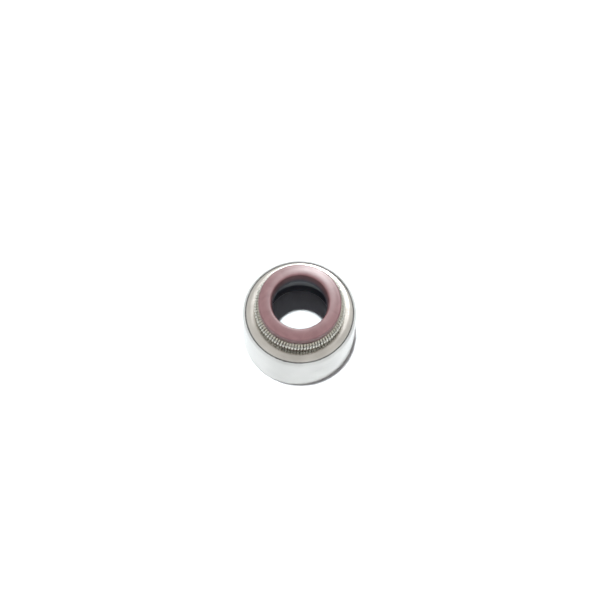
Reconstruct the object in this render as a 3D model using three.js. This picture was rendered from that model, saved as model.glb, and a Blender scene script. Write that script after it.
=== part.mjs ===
// Valve stem seal for a 7 mm valve stem: a deep-drawn steel sleeve, the moulded rubber body
// bonded into it, and the garter spring that keeps the rubber lip on the stem.
// Millimetres, +Z up. The axis of the seal is Z, and z = 0 is the open rim that faces the
// cylinder head. The sleeve and the rubber are turned about that axis from their half sections.

import * as THREE from 'three';

// The parts of the engine that the seal fits
const stemDiameter = 7.0;
const guideDiameter = 11.0;

// Steel sleeve
const sheetThickness = 0.7;
const sleeveHeight = 7.55;
const shoulderBend = 1.0; // outer radius of the drawn shoulder
const rimRound = 0.15; // deburred outer edge of the open rim

// Rubber lining between the guide and the sleeve
const liningThickness = 0.9;
const liningRecess = 0.45; // from the steel rim up to where the rubber starts
const leadIn = 0.35; // bevel that starts the seal over the guide
const guideStopHeight = 4.7; // flat land that the end of the guide meets
const stopFillet = 0.2; // fills the corner between that land and the bore of the lining
const ribCount = 3;
const ribWidth = 0.6;
const ribCrest = 0.2; // width of the flat on top of a rib
const ribGrip = 0.12; // how far a rib reaches inside the guide's surface

// Second lip, over the end of the guide, that holds back gas from the port
const gasLipClearance = 0.35; // from the stem to its edge
const gasLipThickness = 0.25;
const gasLipRake = 0.55; // fall of its upper side towards the edge

// Neck that joins the lining to the head through the shoulder
const hollowClearance = 0.8; // from the stem to the wall of the hollow under the lip
const neckWall = 0.65;
const footOverlap = 0.35; // how far the foot of the head covers the shoulder
const footThickness = 0.2; // rubber left between the spring's groove and the shoulder

// Head with the sealing lip
const lipInterference = 0.18; // how far the free lip stands inside the stem's surface
const lipDrop = 1.55; // from the top of the head down to the sealing edge
const lipSlope = 1.0; // fall of the lip's underside for each millimetre outwards
const mouthClearance = 0.1; // from the stem to the mouth of the head
const grooveWall = 0.87; // from the stem to the floor of the spring's groove
const springCover = 0.1; // how far the rim of the head reaches past the middle of the spring
const rimHeight = 1.29; // from the groove to the top of the head
const rimFlare = 0.2; // bevel under the rim that lets the spring snap in
const grooveMouth = THREE.MathUtils.degToRad(100); // where the groove's upper side ends
const faceFall = 0.14; // how far the domed top face falls from the mouth to the rim
const headEdgeRound = 0.22;

// Garter spring
const wireDiameter = 0.28;
const coilDiameter = 1.3; // outside of one coil
const coilGap = 0.03; // between the turns, on the inside of the ring
const springClearance = 0.03; // between the coils and the groove

// Roundings of the moulding, and fineness of the facets
const lipRound = 0.06;
const hollowRound = 0.25;
const segmentsAround = 48;
const arcStep = THREE.MathUtils.degToRad(30);
const grooveStep = THREE.MathUtils.degToRad(20);
const stepsPerCoil = 8;
const samplesPerStep = 4;
const wireSides = 5;

// Radii and heights that follow from the sizes above
const stemRadius = stemDiameter / 2;
const guideRadius = guideDiameter / 2;
const sleeveBore = guideRadius + liningThickness;
const sleeveRadius = sleeveBore + sheetThickness;
const shoulderUnderside = sleeveHeight - sheetThickness;
const hollowRadius = stemRadius + hollowClearance;
const shoulderHole = hollowRadius + neckWall;
const grooveRadius = coilDiameter / 2 + springClearance;
const ringRadius = stemRadius + grooveWall + grooveRadius;
const springHeight = sleeveHeight + footThickness + grooveRadius;
const grooveTop = springHeight + grooveRadius;
const overallHeight = grooveTop + rimHeight;

// A point on a circle in the plane of the section, x outwards and y up
function onCircle(centre, radius, angle) {
	return new THREE.Vector2(
		centre.x + radius * Math.cos(angle),
		centre.y + radius * Math.sin(angle),
	);
}

// The points of an arc, both ends included, about the given step apart
function arc(centre, radius, from, to, step = arcStep) {
	const count = Math.max(1, Math.round(Math.abs(to - from) / step));
	return Array.from({ length: count + 1 }, (_, i) => {
		return onCircle(centre, radius, from + ((to - from) * i) / count);
	});
}

// One corner of a section with its rounding: an arc that touches both of its sides
function roundCorner(before, corner, after, radius) {
	const back = before.clone().sub(corner).normalize();
	const ahead = after.clone().sub(corner).normalize();
	const halfAngle = Math.acos(back.dot(ahead)) / 2;
	const inwards = back.clone().add(ahead).normalize();
	const centre = corner.clone().addScaledVector(inwards, radius / Math.sin(halfAngle));
	const tangent = radius / Math.tan(halfAngle);
	const start = corner.clone().addScaledVector(back, tangent).sub(centre).angle();
	const end = corner.clone().addScaledVector(ahead, tangent).sub(centre).angle();
	const turn = THREE.MathUtils.euclideanModulo(end - start + Math.PI, 2 * Math.PI) - Math.PI;
	return arc(centre, radius, start, start + turn);
}

// A closed section from its corners, each [radius, height, rounding]. It runs up the outside
// and down the inside, so that the turned faces point out.
function section(corners) {
	const points = corners.map(([x, y]) => new THREE.Vector2(x, y));
	return corners.flatMap(([, , rounding = 0], i) => {
		const before = points.at(i - 1);
		const after = points[(i + 1) % points.length];
		return rounding === 0 ? [points[i]] : roundCorner(before, points[i], after, rounding);
	});
}

// Turns a closed section about the Z axis
function turned(points) {
	const profile = [...points, points[0]];
	return new THREE.LatheGeometry(profile, segmentsAround).rotateX(Math.PI / 2);
}

// Steel sleeve: a cup drawn from sheet, its bottom punched out for the rubber neck. Wall and
// shoulder keep the thickness of the sheet round the bend.
function steelSleeve() {
	return turned(section([
		[sleeveBore, 0],
		[sleeveRadius, 0, rimRound],
		[sleeveRadius, sleeveHeight, shoulderBend],
		[shoulderHole, sleeveHeight],
		[shoulderHole, shoulderUnderside],
		[sleeveBore, shoulderUnderside, shoulderBend - sheetThickness],
	]));
}

// The back of the rubber, moulded against the sleeve: up its bore, under the shoulder, through
// the hole and out over the edge of it
function bondedBack() {
	return [
		[sleeveBore, liningRecess],
		[sleeveBore, shoulderUnderside, shoulderBend - sheetThickness],
		[shoulderHole, shoulderUnderside],
		[shoulderHole, sleeveHeight],
		[shoulderHole + footOverlap, sleeveHeight],
	];
}

// The groove round the head that holds the spring, from the edge of the foot round to the rim
function springGroove() {
	const centre = new THREE.Vector2(ringRadius, springHeight);
	const reach = (shoulderHole + footOverlap - ringRadius) / grooveRadius;
	const footEdge = 2 * Math.PI - Math.acos(THREE.MathUtils.clamp(reach, -1, 1));
	return arc(centre, grooveRadius, footEdge, grooveMouth, grooveStep).map(({ x, y }) => [x, y]);
}

// The head: its rim, its domed top face, which is level beside the mouth, and the mouth that
// leads the stem in
function head() {
	const rim = ringRadius + springCover;
	const mouth = stemRadius + mouthClearance;
	const faceWidth = rim - mouth - 2 * headEdgeRound;
	const domeRadius = (faceWidth ** 2 + faceFall ** 2) / (2 * faceFall);
	const lean = Math.asin(faceWidth / domeRadius);
	const centre = new THREE.Vector2(mouth + headEdgeRound, overallHeight - domeRadius);
	const dome = arc(centre, domeRadius, Math.PI / 2 - lean, Math.PI / 2, lean / 3);
	return [
		[rim, grooveTop + rimFlare, lipRound],
		[rim, overallHeight - faceFall, headEdgeRound],
		...dome.slice(1).map(({ x, y }) => [x, y]),
		[mouth, overallHeight, headEdgeRound],
	];
}

// The sealing lip, the hollow under it, and the second lip above the end of the guide
function lips() {
	const sealingEdge = stemRadius - lipInterference;
	const sealingHeight = overallHeight - lipDrop;
	const gasEdge = stemRadius + gasLipClearance;
	const gasTop = guideStopHeight + gasLipThickness;
	return [
		[sealingEdge, sealingHeight, lipRound],
		[hollowRadius, sealingHeight - lipSlope * (hollowRadius - sealingEdge), hollowRound],
		[hollowRadius, gasTop + gasLipRake, hollowRound],
		[gasEdge, gasTop, lipRound],
		[gasEdge + gasLipThickness, guideStopHeight],
	];
}

// One rib of the lining at the given height: it swells from the bore to grip the guide
function rib(height) {
	return [
		[guideRadius, height + ribWidth / 2],
		[guideRadius - ribGrip, height + ribCrest / 2],
		[guideRadius - ribGrip, height - ribCrest / 2],
		[guideRadius, height - ribWidth / 2],
	];
}

// The bore of the lining: the land that stops the guide, evenly spaced ribs and the lead-in
function guideBore() {
	const bottom = liningRecess + leadIn;
	const pitch = (guideStopHeight - bottom) / (ribCount + 1);
	const ribs = Array.from({ length: ribCount }, (_, i) => rib(guideStopHeight - pitch * (i + 1)));
	return [
		[guideRadius, guideStopHeight, stopFillet],
		...ribs.flat(),
		[guideRadius, bottom],
		[guideRadius + leadIn, liningRecess],
	];
}

// Rubber body: head, lips and lining are one moulding
function rubberBody() {
	return turned(section([
		...bondedBack(),
		...springGroove(),
		...head(),
		...lips(),
		...guideBore(),
	]));
}

// The centre line of the spring's wire: a coil bent round into a ring, with no ends
class GarterCoil extends THREE.Curve {
	constructor(coilCount, coilRadius) {
		super();
		this.coilCount = coilCount;
		this.coilRadius = coilRadius;
		this.arcLengthDivisions = coilCount * stepsPerCoil * samplesPerStep;
	}

	getPoint(t, target = new THREE.Vector3()) {
		const round = 2 * Math.PI * t;
		const twist = round * this.coilCount;
		const reach = ringRadius + this.coilRadius * Math.cos(twist);
		return target.set(
			reach * Math.cos(round),
			reach * Math.sin(round),
			springHeight + this.coilRadius * Math.sin(twist),
		);
	}
}

// Garter spring: the turns lie nearly wire to wire on the inside of the ring, which sets how
// many there are. The wire follows the closed coil, so its tube closes on itself.
function garterSpring() {
	const coilRadius = (coilDiameter - wireDiameter) / 2;
	const innerLength = 2 * Math.PI * (ringRadius - coilRadius);
	const coilCount = Math.floor(innerLength / (wireDiameter + coilGap));
	const coil = new GarterCoil(coilCount, coilRadius);
	return new THREE.TubeGeometry(coil, coilCount * stepsPerCoil, wireDiameter / 2, wireSides, true);
}

function piece(name, geometry, color, metalness, roughness) {
	const material = new THREE.MeshStandardMaterial({ color, metalness, roughness });
	const mesh = new THREE.Mesh(geometry, material);
	mesh.name = name;
	return mesh;
}

const seal = new THREE.Group();
seal.name = 'valve_stem_seal';
seal.add(piece('steel_sleeve', steelSleeve(), '#c9c7c1', 1, 0.28));
seal.add(piece('rubber_body', rubberBody(), '#8d6262', 0, 0.45));
seal.add(piece('garter_spring', garterSpring(), '#b9b6ac', 1, 0.3));

export default seal;
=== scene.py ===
# %% [markdown]
# A valve stem seal, in three pieces
#
# This seal sits on top of a valve guide in an engine and wipes the oil off the valve stem. It is a
# cup drawn from sheet steel, a reddish-brown rubber body moulded into the cup, and a garter spring
# that squeezes the rubber lip onto the stem. All three are round about one axis, so each surface
# can be worked out from a half section and an angle.
#
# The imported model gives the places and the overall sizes. The script remakes the three surfaces
# finely enough to be looked at through a macro lens, and gives each the finish of the real thing.

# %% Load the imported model
import math

import bpy
import numpy as np
from mathutils import Matrix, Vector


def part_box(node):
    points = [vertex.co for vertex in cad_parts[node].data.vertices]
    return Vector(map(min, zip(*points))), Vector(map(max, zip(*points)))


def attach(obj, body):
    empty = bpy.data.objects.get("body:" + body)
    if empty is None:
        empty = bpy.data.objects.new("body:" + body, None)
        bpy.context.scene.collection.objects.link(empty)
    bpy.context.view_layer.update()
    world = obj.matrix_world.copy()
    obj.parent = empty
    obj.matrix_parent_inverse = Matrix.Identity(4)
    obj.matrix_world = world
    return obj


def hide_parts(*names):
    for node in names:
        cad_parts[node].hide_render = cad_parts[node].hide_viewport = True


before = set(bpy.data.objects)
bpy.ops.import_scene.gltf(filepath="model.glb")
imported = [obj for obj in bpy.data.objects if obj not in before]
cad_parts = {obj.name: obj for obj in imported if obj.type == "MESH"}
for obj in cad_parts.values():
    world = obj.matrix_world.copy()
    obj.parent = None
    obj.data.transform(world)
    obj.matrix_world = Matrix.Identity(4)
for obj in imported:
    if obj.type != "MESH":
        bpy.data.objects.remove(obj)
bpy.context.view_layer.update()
MM = 0.001

# %% [markdown]
# Sizes from the frame
#
# A node's box gives its outer radius and its two heights. Reading them here, rather than writing
# them again, keeps the looks tied to the model: if the sleeve grows, so does its surface.

# %% Read the sizes of the three nodes
def node_size(name):
    """Outer radius, lowest and highest point of a node that is round about Z, in millimetres."""
    low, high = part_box(name)
    return high[0] / MM, low[2] / MM, high[2] / MM


sleeve_radius, sleeve_bottom, sleeve_top = node_size("steel_sleeve")
lining_radius, lining_bottom, head_top = node_size("rubber_body")
spring_reach, spring_bottom, spring_top = node_size("garter_spring")
sheet = sleeve_radius - lining_radius
print("sleeve", round(sleeve_radius, 3), "sheet", round(sheet, 3), "head top", round(head_top, 3))

# %% [markdown]
# Half sections with true roundings
#
# A drawn or moulded part has no knife edges: light catches on each small radius, and that bright
# line is most of what tells the eye that a part is real. So a section is a list of corners, each
# with its rounding, and the rounding is worked out as an arc that touches both sides.

# %% Work out a rounded section
corner_step = math.radians(10)


def arc(centre, radius, start, end, step):
    """Points of an arc in the section's plane: centre + radius * (cos a, sin a), with a from
    start to end in steps of about the given size."""
    angle = np.linspace(start, end, max(2, round(abs(end - start) / step)) + 1)
    return np.stack([centre[0] + radius * np.cos(angle), centre[1] + radius * np.sin(angle)], axis=1)


def round_corner(before, corner, after, rounding):
    """Arc that touches both sides of a corner. Its centre lies on the line that halves the
    corner's angle, at rounding / sin(half the angle) from the corner."""
    back = (before - corner) / np.linalg.norm(before - corner)
    ahead = (after - corner) / np.linalg.norm(after - corner)
    half = math.acos(np.clip(back @ ahead, -1, 1)) / 2
    centre = corner + (back + ahead) / np.linalg.norm(back + ahead) * rounding / math.sin(half)
    first = corner + back * rounding / math.tan(half) - centre
    last = corner + ahead * rounding / math.tan(half) - centre
    start = math.atan2(first[1], first[0])
    turn = (math.atan2(last[1], last[0]) - start + math.pi) % (2 * math.pi) - math.pi
    return arc(centre, rounding, start, start + turn, corner_step)


def section(corners, longest=0.25):
    """Closed section through corners (radius, height, rounding), with its straight stretches
    split so that no face is much longer than it is wide. All in millimetres."""
    points = np.array([corner[:2] for corner in corners], dtype=float)
    runs = [
        round_corner(points[i - 1], points[i], points[(i + 1) % len(points)], corner[2])
        if corner[2] else points[i:i + 1]
        for i, corner in enumerate(corners)
    ]
    outline = np.concatenate(runs)
    ends = np.roll(outline, -1, axis=0)
    return np.concatenate([
        np.linspace(a, b, max(1, math.ceil(np.linalg.norm(b - a) / longest)), endpoint=False)
        for a, b in zip(outline, ends)
    ])


# %% [markdown]
# From a grid to a mesh
#
# A surface of revolution is a grid: one direction runs round the axis, the other along the
# section. The whole grid is worked out as arrays, and both directions close on themselves, so
# there is no seam to hide.

# %% Build a mesh from a closed grid
AROUND = 288


def grid_mesh(name, points):
    """Mesh of a grid of points [n, m, 3] in metres that closes in both directions. A face points
    the way that the first direction crossed with the second points."""
    n, m, _ = points.shape
    i, j = np.meshgrid(np.arange(n), np.arange(m), indexing="ij")
    right, up = (i + 1) % n, (j + 1) % m
    quads = np.stack([i * m + j, right * m + j, right * m + up, i * m + up], axis=-1).reshape(-1, 4)
    mesh = bpy.data.meshes.new(name)
    mesh.vertices.add(n * m)
    mesh.vertices.foreach_set("co", points.astype(np.float32).ravel())
    mesh.loops.add(quads.size)
    mesh.loops.foreach_set("vertex_index", quads.astype(np.int32).ravel())
    mesh.polygons.add(len(quads))
    mesh.polygons.foreach_set("loop_start", np.arange(0, quads.size, 4, dtype=np.int32))
    mesh.polygons.foreach_set("use_smooth", np.ones(len(quads), dtype=bool))
    mesh.update(calc_edges=True)
    piece = bpy.data.objects.new(name, mesh)
    bpy.context.collection.objects.link(piece)
    print(name, "has", len(quads), "faces")
    return piece


def turned(name, outline):
    """Surface of revolution: the point (r cos a, r sin a, z) for each point (r, z) of the section
    and each angle a."""
    angle = np.linspace(0, 2 * math.pi, AROUND, endpoint=False)[:, None]
    radius, height = outline[None, :, 0], outline[None, :, 1]
    points = np.stack([radius * np.cos(angle), radius * np.sin(angle), height + 0 * angle], axis=-1)
    return grid_mesh(name, points * MM)


# %% [markdown]
# The steel sleeve
#
# A disc of sheet steel is pushed through a die, which leaves a cup whose wall and bottom have one
# thickness and meet in a bend. The bottom is then punched out. The cup stands upside down here, so
# the bend is the shoulder. Tumbling takes the burr off the rims, which is why they are round.

# %% Turn the sleeve
shoulder_bend = 1.0
rim_round = 0.15
edge_round = 0.06
shoulder_hole = 4.95
underside = sleeve_top - sheet

sleeve = turned("drawn_sleeve", section([
    (lining_radius, sleeve_bottom, edge_round),
    (sleeve_radius, sleeve_bottom, rim_round),
    (sleeve_radius, sleeve_top, shoulder_bend),
    (shoulder_hole, sleeve_top, edge_round),
    (shoulder_hole, underside, edge_round),
    (lining_radius, underside, shoulder_bend - sheet),
]))

# %% [markdown]
# The rubber body
#
# The rubber is moulded into the sleeve and sticks to it. Going round its section: up the back of
# the lining, out through the hole in the shoulder as a small foot, round the groove for the
# spring, over the rim and the domed top face, down the mouth to the sealing lip, into the hollow,
# over the second lip, along the land that stops the guide, and down the ribs to the lead-in.

# %% Sizes of the head, in millimetres
foot_overlap = 0.35
coil = 1.3
spring_clearance = 0.03
spring_cover = 0.1
foot_edge = shoulder_hole + foot_overlap
spring_height = (spring_bottom + spring_top) / 2
ring_radius = spring_reach - coil / 2
groove_radius = coil / 2 + spring_clearance
rim = ring_radius + spring_cover
rim_flare = 0.2
face_fall = 0.14
face_round = 0.22
print("the spring's ring is", round(2 * ring_radius, 2), "mm across")

# %% Sizes of the bore, in millimetres
stem_radius = 3.5
lip_interference = 0.18
mouth_clearance = 0.1
hollow_clearance = 0.8
gas_lip_clearance = 0.35
sealing_edge = stem_radius - lip_interference
mouth = stem_radius + mouth_clearance
hollow = stem_radius + hollow_clearance
gas_edge = stem_radius + gas_lip_clearance
lip_drop = 1.55
sealing_height = head_top - lip_drop
gas_thickness = 0.25
gas_rake = 0.55
guide_radius = 5.5
guide_stop = 4.7
lead_in = 0.35
print("the lip is", round(2 * sealing_edge, 2), "mm across")

# %% Roundings of the moulding, in millimetres
soft_round = 0.06
lining_round = 0.03
foot_round = 0.04
hollow_round = 0.25
stop_fillet = 0.2


# %% Groove and top face
def groove():
    """Half-round channel: an arc about the middle of the coil, from the foot's edge to the rim."""
    start = 2 * math.pi - math.acos((foot_edge - ring_radius) / groove_radius)
    end = math.radians(100)
    groove_step = 0.12
    points = arc((ring_radius, spring_height), groove_radius, start, end, groove_step)
    return [(*point, 0) for point in points]


def top_face():
    """Domed face: an arc, level beside the mouth, that has fallen by face_fall at the rim. Its
    radius is (width squared + fall squared) / (2 * fall)."""
    width = rim - mouth - 2 * face_round
    radius = (width ** 2 + face_fall ** 2) / (2 * face_fall)
    lean = math.asin(width / radius)
    centre = (mouth + face_round, head_top - radius)
    face_steps = 10
    points = arc(centre, radius, math.pi / 2 - lean, math.pi / 2, lean / face_steps)
    return [(*point, 0) for point in points[1:-1]]


# %% Ribs of the lining
rib_foot = 0.6
rib_crest = 0.2
rib_grip = 0.12
rib_count = 3


def rib(height):
    """One rib: a trapezium about the given height, from its foot on the bore to its crest."""
    foot, crest = rib_foot / 2, rib_crest / 2
    return [
        (guide_radius, height + foot, soft_round),
        (guide_radius - rib_grip, height + crest, soft_round),
        (guide_radius - rib_grip, height - crest, soft_round),
        (guide_radius, height - foot, soft_round),
    ]


rib_pitch = (guide_stop - lining_bottom - lead_in) / (rib_count + 1)
ribs = [corner for i in range(rib_count) for corner in rib(guide_stop - rib_pitch * (i + 1))]
print(rib_count, "ribs,", round(rib_pitch, 3), "mm apart")

# %% Turn the rubber
rubber_outline = section([
    (lining_radius, lining_bottom, lining_round),
    (lining_radius, underside, shoulder_bend - sheet),
    (shoulder_hole, underside, edge_round),
    (shoulder_hole, sleeve_top, edge_round),
    (foot_edge, sleeve_top, foot_round),
    *groove(),
    (rim, spring_height + groove_radius + rim_flare, soft_round),
    (rim, head_top - face_fall, face_round),
    *top_face(),
    (mouth, head_top, face_round),
    (sealing_edge, sealing_height, soft_round),
    (hollow, sealing_height - (hollow - sealing_edge), hollow_round),
    (hollow, guide_stop + gas_thickness + gas_rake, hollow_round),
    (gas_edge, guide_stop + gas_thickness, soft_round),
    (gas_edge + gas_thickness, guide_stop, soft_round),
    (guide_radius, guide_stop, stop_fillet),
    *ribs,
    (guide_radius, lining_bottom + lead_in, soft_round),
    (guide_radius + lead_in, lining_bottom, soft_round),
], longest=0.2)
rubber = turned("moulded_rubber", rubber_outline)

# %% [markdown]
# The garter spring
#
# Fine steel wire is coiled wire to wire, and the coil's two ends are screwed into each other to
# make a ring. Stretched round the head, the turns open a little on the outside of the ring, and
# they are never quite evenly spread, which a slow wander in the coil's angle copies. A ring with
# a bumpy texture would look flat from the side, so the wire is a real tube, carried along a coil
# that is itself bent round a circle. Its frame needs no twist: the direction from the coil's
# middle to the wire is always square to the wire.

# %% Coil the spring
wire = 0.28
gap = 0.03
turns = math.floor(2 * math.pi * (ring_radius - (coil - wire) / 2) / (wire + gap))
steps_per_turn = 24
wire_sides = 12


def garter_spring():
    """With t round the ring and w = turns * t plus a slow wander, the wire's middle is at
    ring + middle * cos w from the axis and middle * sin w above the ring. The tube round it is
    wire / 2 * (cos s * outwards + sin s * (tangent x outwards)). Returns the wire's middle line,
    the tube's points and its angles s."""
    t = np.linspace(0, 2 * math.pi, turns * steps_per_turn, endpoint=False)
    wander = 0.2 * np.sin(5 * t) + 0.1 * np.sin(11 * t + 1)
    w = turns * t + wander
    middle = (coil - wire) / 2
    spoke = np.stack([np.cos(t), np.sin(t), 0 * t], axis=1)
    upright = np.array([0, 0, 1.0])
    outwards = spoke * np.cos(w)[:, None] + upright * np.sin(w)[:, None]
    line = spoke * ring_radius + outwards * middle + upright * spring_height
    tangent = np.roll(line, -1, axis=0) - np.roll(line, 1, axis=0)
    tangent /= np.linalg.norm(tangent, axis=1, keepdims=True)
    sideways = np.cross(tangent, outwards)
    s = np.linspace(0, 2 * math.pi, wire_sides, endpoint=False)[None, :, None]
    tube = np.cos(s) * outwards[:, None] + np.sin(s) * sideways[:, None]
    return line, line[:, None] + wire / 2 * tube, s


wire_line, wire_points, wire_angle = garter_spring()
spring = grid_mesh("coiled_spring", wire_points[:, ::-1] * MM)
wire_length = np.linalg.norm(np.diff(wire_line, axis=0, append=wire_line[:1]), axis=1)
print("the spring takes", round(wire_length.sum(), 1), "mm of wire")

# %% [markdown]
# Put each piece on the body, in place of its node
#
# Nothing moves on a seal, so all three pieces ride on the one body, and each stands for the node
# of the imported model that it was worked out from.

# %% Ride and replace
for piece, node, finish in [
    (sleeve, "steel_sleeve", "sleeve_steel"),
    (rubber, "rubber_body", "seal_rubber"),
    (spring, "garter_spring", "spring_steel"),
]:
    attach(piece, "root")
    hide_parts(node)

# %% [markdown]
# Helpers for materials
#
# Colours are written as a screen shows them and turned to the linear values that light is
# reckoned in. One function adds any node, with its settings and what feeds it.

# %% Colour and node helpers
def linear(code):
    """sRGB hex to linear: c / 12.92 below 0.04045, else ((c + 0.055) / 1.055) to the power 2.4."""
    c = np.array([int(code[k:k + 2], 16) for k in (1, 3, 5)]) / 255
    return (*np.where(c <= 0.04045, c / 12.92, ((c + 0.055) / 1.055) ** 2.4).tolist(), 1.0)


def new_material(name):
    """An empty node material with its Principled shader and output, already joined."""
    material = bpy.data.materials.new(name)
    material.use_nodes = True
    tree = material.node_tree
    print("finish:", name)
    return material, tree, tree.nodes["Principled BSDF"]


def add(tree, kind, feeds=(), **settings):
    """Adds a node. feeds pairs an input, by name or number, with a value or with the socket
    that it comes from."""
    node = tree.nodes.new("ShaderNode" + kind)
    for name, value in settings.items():
        setattr(node, name, value)
    for key, value in feeds:
        if isinstance(value, bpy.types.NodeSocket):
            tree.links.new(value, node.inputs[key])
        else:
            node.inputs[key].default_value = value
    return node


# %% [markdown]
# Drawn and tumbled sheet steel
#
# The die leaves fine lines that run down the wall and in towards the hole, and tumbling with
# abrasive chips then dulls the steel to a satin and leaves tiny dings. The lines follow the form,
# so they need coordinates that follow it too: the direction from the axis, which stays the same
# along a line, and the height less the radius, which keeps growing up the wall and over the bend.

# %% Steel of the sleeve
def drawn_steel():
    material, tree, shader = new_material("drawn_tumbled_sheet_steel")
    place = add(tree, "TexCoord").outputs["Object"]
    flat = add(tree, "VectorMath", [(0, place), (1, (1, 1, 0))], operation="MULTIPLY").outputs[0]
    spoke = add(tree, "VectorMath", [(0, flat)], operation="NORMALIZE").outputs[0]
    radius = add(tree, "VectorMath", [(0, flat)], operation="LENGTH").outputs["Value"]
    axes = add(tree, "SeparateXYZ", [(0, place)])
    along = add(tree, "Math", [(0, axes.outputs["Z"]), (1, radius)], operation="SUBTRACT").outputs[0]
    lift = add(tree, "CombineXYZ", [("Z", along)]).outputs[0]

    # The real lines are a few hundredths of a millimetre wide. These are as coarse as they need
    # to be to show.
    streak_width, streak_length = 0.09 * MM, 5 * MM
    per_radian, per_metre = sleeve_radius * MM / streak_width, 1 / streak_length
    across = add(tree, "VectorMath", [(0, spoke), ("Scale", per_radian)], operation="SCALE").outputs[0]
    down = add(tree, "VectorMath", [(0, lift), ("Scale", per_metre)], operation="SCALE").outputs[0]
    follow = add(tree, "VectorMath", [(0, across), (1, down)], operation="ADD").outputs[0]
    streaks = add(tree, "TexNoise", [
        ("Vector", follow), ("Scale", 1.0), ("Detail", 3.0), ("Roughness", 0.6),
    ]).outputs["Fac"]
    chip_size, patch_size = 0.22 * MM, 3.2 * MM
    dings = add(tree, "TexNoise", [
        ("Vector", place), ("Scale", 1 / chip_size), ("Detail", 4.0), ("Roughness", 0.65),
    ]).outputs["Fac"]
    patches = add(tree, "TexNoise", [
        ("Vector", place), ("Scale", 1 / patch_size), ("Detail", 2.0),
    ]).outputs["Fac"]

    # Satin, a little duller on some lines and patches, so that a reflection is softly broken up
    satin = add(tree, "Math", [(0, streaks), (1, 0.16), (2, 0.07)], operation="MULTIPLY_ADD").outputs[0]
    satin = add(tree, "Math", [(0, patches), (1, 0.08), (2, satin)], operation="MULTIPLY_ADD").outputs[0]
    tree.links.new(satin, shader.inputs["Roughness"])

    tint = add(tree, "ValToRGB", [("Fac", patches)])
    darker, lighter = tint.color_ramp.elements
    darker.position, darker.color = 0.3, linear("#b3b1ad")
    lighter.position, lighter.color = 0.7, linear("#c5c3bf")
    tree.links.new(tint.outputs["Color"], shader.inputs["Base Color"])
    shader.inputs["Metallic"].default_value = 1.0

    line_depth, ding_depth = 0.005 * MM, 0.008 * MM
    lines = add(tree, "Bump", [("Strength", 0.8), ("Distance", line_depth), ("Height", streaks)]).outputs[0]
    relief = add(tree, "Bump", [
        ("Strength", 0.6), ("Distance", ding_depth), ("Height", dings), ("Normal", lines),
    ]).outputs[0]
    tree.links.new(relief, shader.inputs["Normal"])
    return material


sleeve.data.materials.append(drawn_steel())

# %% [markdown]
# Moulded fluoro rubber
#
# Seals that live in hot oil are moulded from fluoro rubber, coloured reddish brown. The steel of
# the mould leaves a very fine grain, and the skin has a soft sheen rather than a gloss. The
# colour wanders a little where the rubber flowed. Inside, below the upper half of the mouth, the
# colour is painted blue-black as painted shade for the deep, dim bore, so the bore looks almost black.

# %% Rubber of the body
def store_bore_shade(piece, outline):
    """Stores the strength of the bore's painted shade: 0 on the outside and in the upper half of the
    mouth. Below that, on the inside, the value rises to 1 just above the sealing lip, and stays 1
    all the way down the bore."""
    # Painted shade: the depth in the mouth where the dark paint of the bore starts, and the depth over
    # which it reaches full strength
    shade_start, shade_fade = 0.6, 0.8
    top = int(outline[:, 1].argmax())
    depth = np.clip((head_top - outline[:, 1] - shade_start) / shade_fade, 0, 1)
    bore = np.where(np.arange(len(outline)) > top, depth, 0)
    attribute = piece.data.attributes.new("bore", "FLOAT", "POINT")
    attribute.data.foreach_set("value", np.tile(bore, AROUND).astype(np.float32))


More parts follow.
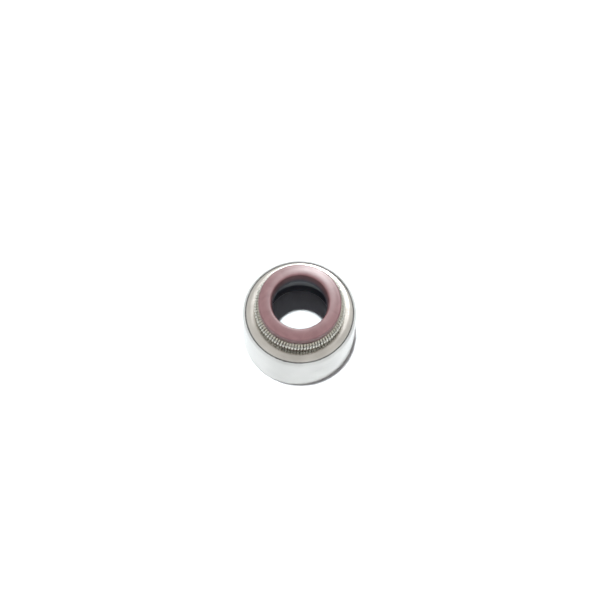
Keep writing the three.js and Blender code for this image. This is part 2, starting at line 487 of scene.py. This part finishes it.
def moulded_rubber():
    material, tree, shader = new_material("moulded_brown_fluoro_rubber")
    place = add(tree, "TexCoord").outputs["Object"]

    # The grain of the mould is finer than this in life, and is as coarse as it needs to be to show
    flow_size, grain_size, pore_spacing = 1.4 * MM, 0.09 * MM, 0.35 * MM
    flow = add(tree, "TexNoise", [
        ("Vector", place), ("Scale", 1 / flow_size), ("Detail", 3.0), ("Distortion", 0.6),
    ]).outputs["Fac"]
    grain = add(tree, "TexNoise", [
        ("Vector", place), ("Scale", 1 / grain_size), ("Detail", 3.0), ("Roughness", 0.6),
    ]).outputs["Fac"]
    pores = add(tree, "TexVoronoi", [
        ("Vector", place), ("Scale", 1 / pore_spacing), ("Randomness", 1.0),
    ]).outputs["Distance"]

    # The bore's painted shade varies a little with the flow, so the brown shows through in places
    tint = add(tree, "ValToRGB", [("Fac", flow)])
    darker, lighter = tint.color_ramp.elements
    darker.position, darker.color = 0.3, linear("#785556")
    lighter.position, lighter.color = 0.72, linear("#876465")
    painted_shade = add(tree, "Attribute", attribute_name="bore").outputs["Fac"]
    shade_strength = add(tree, "Math", [(0, flow), (1, 0.3), (2, 0.72)], operation="MULTIPLY_ADD").outputs[0]
    shade_cover = add(tree, "Math", [(0, painted_shade), (1, shade_strength)], operation="MULTIPLY", use_clamp=True).outputs[0]
    # Painted shade: blue-black is painted over the brown inside the bore, where the recess gets little
    # light
    colour_and_bore_shade = add(tree, "Mix", [
        ("Factor", shade_cover), ("A", tint.outputs["Color"]), ("B", linear("#46525c")),
    ], data_type="RGBA").outputs["Result"]
    tree.links.new(colour_and_bore_shade, shader.inputs["Base Color"])

    # A soft sheen, uneven from the grain and from the way the rubber flowed
    sheen = add(tree, "Math", [(0, grain), (1, 0.12), (2, 0.24)], operation="MULTIPLY_ADD").outputs[0]
    sheen = add(tree, "Math", [(0, flow), (1, 0.12), (2, sheen)], operation="MULTIPLY_ADD").outputs[0]
    tree.links.new(sheen, shader.inputs["Roughness"])
    shader.inputs["IOR"].default_value = 1.5

    # A pore is a pit in the middle of a cell, a sixth of the cell's spacing in radius
    grain_depth, pore_depth = 0.006 * MM, 0.012 * MM
    pits = add(tree, "MapRange", [("Value", pores), ("From Max", 0.16), ("To Max", 1.0)]).outputs["Result"]
    skin = add(tree, "Bump", [("Strength", 0.5), ("Distance", grain_depth), ("Height", grain)]).outputs[0]
    relief = add(tree, "Bump", [
        ("Strength", 0.25), ("Distance", pore_depth), ("Height", pits), ("Normal", skin),
    ]).outputs[0]
    tree.links.new(relief, shader.inputs["Normal"])
    return material


store_bore_shade(rubber, rubber_outline)
rubber.data.materials.append(moulded_rubber())

# %% [markdown]
# Drawn spring wire
#
# Wire is pulled through a diamond die, so it is brighter than the sheet, and its fine lines run
# along it and draw each highlight out round the turn. The noise that makes them reads a value
# stored on the mesh: where a point lies round the wire, and how far along it. Object coordinates
# would cut across the turns instead.

# %% Steel of the spring
def store_wire_place(piece, line_length, angle):
    """Stores (cos s, sin s, length along the wire in millimetres) on each point of the tube."""
    along = np.concatenate([[0], np.cumsum(line_length)[:-1]])[:, None]
    s = angle[0, :, 0][None, ::-1] + 0 * along
    values = np.stack([np.cos(s), np.sin(s), along + 0 * s], axis=-1)
    attribute = piece.data.attributes.new("wire_place", "FLOAT_VECTOR", "POINT")
    attribute.data.foreach_set("vector", values.astype(np.float32).ravel())


def spring_wire():
    material, tree, shader = new_material("drawn_spring_steel_wire")
    place = add(tree, "Attribute", attribute_name="wire_place").outputs["Vector"]

    # In millimetres, as the stored length is. The width of a line is taken round the wire.
    line_width, line_length = 0.035, 1.25
    across = wire / 2 / line_width
    stretched = add(tree, "Mapping", [("Vector", place), ("Scale", (across, across, 1 / line_length))])
    lines = add(tree, "TexNoise", [
        ("Vector", stretched.outputs[0]), ("Scale", 1.0), ("Detail", 3.0), ("Roughness", 0.6),
    ]).outputs["Fac"]

    tint = add(tree, "ValToRGB", [("Fac", lines)])
    darker, lighter = tint.color_ramp.elements
    darker.position, darker.color = 0.3, linear("#c2bfb4")
    lighter.position, lighter.color = 0.7, linear("#e3e0d7")
    tree.links.new(tint.outputs["Color"], shader.inputs["Base Color"])
    shader.inputs["Metallic"].default_value = 1.0

    satin = add(tree, "Math", [(0, lines), (1, 0.2), (2, 0.16)], operation="MULTIPLY_ADD").outputs[0]
    tree.links.new(satin, shader.inputs["Roughness"])
    line_depth = 0.003 * MM
    relief = add(tree, "Bump", [("Strength", 0.4), ("Distance", line_depth), ("Height", lines)]).outputs[0]
    tree.links.new(relief, shader.inputs["Normal"])
    return material


store_wire_place(spring, wire_length, wire_angle)
spring.data.materials.append(spring_wire())

# %% [markdown]
# Stage: floor, light and world
#
# The seal stands on a plain white table. Light from straight above goes down through the bore and
# makes the bright patch that shows through it, while a round soft light behind and to the right
# lays the sheen on the far side of the rubber. Each lamp does one job: the one above only lights,
# and is kept out of reflections, and the one behind is only reflected. The world is a pale studio,
# darker near the horizon, which is the dark line that the steel's bend shows.

# %% White table
def white_table():
    half = 3.0  # metres, so that its edge is never in view
    corners = [(-half, -half, 0), (half, -half, 0), (half, half, 0), (-half, half, 0)]
    mesh = bpy.data.meshes.new("table_top")
    mesh.from_pydata(corners, [], [(0, 1, 2, 3)])
    table = bpy.data.objects.new("table_top", mesh)
    bpy.context.collection.objects.link(table)
    material, tree, shader = new_material("matt_white_laminate")
    place = add(tree, "TexCoord").outputs["Object"]
    fibre_size = 0.4 * MM
    fibres = add(tree, "TexNoise", [("Vector", place), ("Scale", 1 / fibre_size), ("Detail", 2.0)])
    tint = add(tree, "ValToRGB", [("Fac", fibres.outputs["Fac"])])
    greyer, whiter = tint.color_ramp.elements
    greyer.color, whiter.color = linear("#fbfbfa"), linear("#ffffff")
    tree.links.new(tint.outputs["Color"], shader.inputs["Base Color"])
    shader.inputs["Roughness"].default_value = 1.0
    shader.inputs["Specular IOR Level"].default_value = 0.0
    mesh.materials.append(material)


white_table()

# %% Lamps
def sun_lamp(name, strength, colour, spread, lean_x, lean_y):
    """A lamp far away, straight above but for two small leans, in degrees."""
    lamp = bpy.data.lights.new(name, "SUN")
    lamp.energy = strength
    lamp.color = colour
    lamp.angle = math.radians(spread)
    place = bpy.data.objects.new(name, lamp)
    place.rotation_euler = (math.radians(lean_y), math.radians(lean_x), 0)
    bpy.context.collection.objects.link(place)
    return place


def soft_box(name, strength, size, azimuth, elevation, distance):
    """A round area lamp that faces the seal from the given direction, in degrees and metres.
    Azimuth 0 is behind the seal."""
    a, e = math.radians(azimuth), math.radians(elevation)
    lamp = bpy.data.lights.new(name, "AREA")
    lamp.shape, lamp.size, lamp.energy = "DISK", size, strength
    place = bpy.data.objects.new(name, lamp)
    place.location = (
        distance * math.sin(a) * math.cos(e),
        distance * math.cos(a) * math.cos(e),
        distance * math.sin(e),
    )
    place.rotation_euler = (-place.location).to_track_quat("-Z", "Y").to_euler()
    bpy.context.collection.objects.link(place)
    return place


overhead = sun_lamp("overhead_light", 3.5, (0.94, 1.0, 1.03), 2.5, lean_x=-2.4, lean_y=-1.2)
overhead.visible_glossy = False
glare = soft_box("back_light", 11.5, 0.26, azimuth=10, elevation=49.5, distance=1.0)
glare.visible_diffuse = False
print("lamps:", overhead.name, "and", glare.name)

# %% World
def pale_studio():
    """Background that camera, gloss and glass see: white high up, greyer towards the horizon.
    Other rays see a plain grey, which is the fill light."""
    world = bpy.data.worlds.new("pale_studio")
    world.use_nodes = True
    bpy.context.scene.world = world
    tree = world.node_tree
    sky = tree.nodes["Background"]
    direction = add(tree, "TexCoord").outputs["Generated"]
    height = add(tree, "SeparateXYZ", [(0, direction)]).outputs["Z"]
    shade = add(tree, "ValToRGB", [("Fac", height)])
    horizon, zenith = shade.color_ramp.elements
    horizon.position, horizon.color = 0.16, linear("#2c2c30")
    zenith.position, zenith.color = 1.0, linear("#f8f5f0")
    between = [(0.26, "#6b6b6e"), (0.36, "#fffefb"), (0.7, "#fffdf9"), (0.93, "#f6f3ee")]
    for position, colour in between:
        shade.color_ramp.elements.new(position).color = linear(colour)

    rays = add(tree, "LightPath").outputs
    seen = add(tree, "Math", [
        (0, rays["Is Camera Ray"]), (1, rays["Is Glossy Ray"]),
    ], operation="ADD").outputs[0]
    seen = add(tree, "Math", [
        (0, seen), (1, rays["Is Transmission Ray"]),
    ], operation="ADD", use_clamp=True).outputs[0]
    fill = linear("#85848a")
    mix = add(tree, "Mix", [
        ("Factor", seen), ("A", fill), ("B", shade.outputs["Color"]),
    ], data_type="RGBA")
    tree.links.new(mix.outputs["Result"], sky.inputs["Color"])
    sky.inputs["Strength"].default_value = 1.0


pale_studio()
bpy.context.scene.view_settings.view_transform = "Standard"

# %% [markdown]
# Camera
#
# The photograph looks down at the seal from about 67 degrees, and is turned by about 2. Circles at
# different heights shrink by about 3 per cent from top to bottom, which puts the camera about a
# quarter of a metre away, behind a long lens.

# %% Place the camera
camera_elevation = math.radians(67.2)
camera_roll = math.radians(2)
camera_distance = 244 * MM
aim_height = 10.9 * MM
camera_data = bpy.data.cameras.new("macro_camera")
camera_data.lens = 119
camera_data.sensor_width = 36
camera_data.clip_start, camera_data.clip_end = 0.01, 20
camera = bpy.data.objects.new("macro_camera", camera_data)
camera.location = (
    0,
    -camera_distance * math.cos(camera_elevation),
    aim_height + camera_distance * math.sin(camera_elevation),
)
tilt = Matrix.Rotation(math.pi / 2 - camera_elevation, 3, "X") @ Matrix.Rotation(camera_roll, 3, "Z")
camera.rotation_euler = tilt.to_euler()
bpy.context.collection.objects.link(camera)
bpy.context.scene.camera = camera
print("camera at, mm:", [round(value / MM, 1) for value in camera.location])
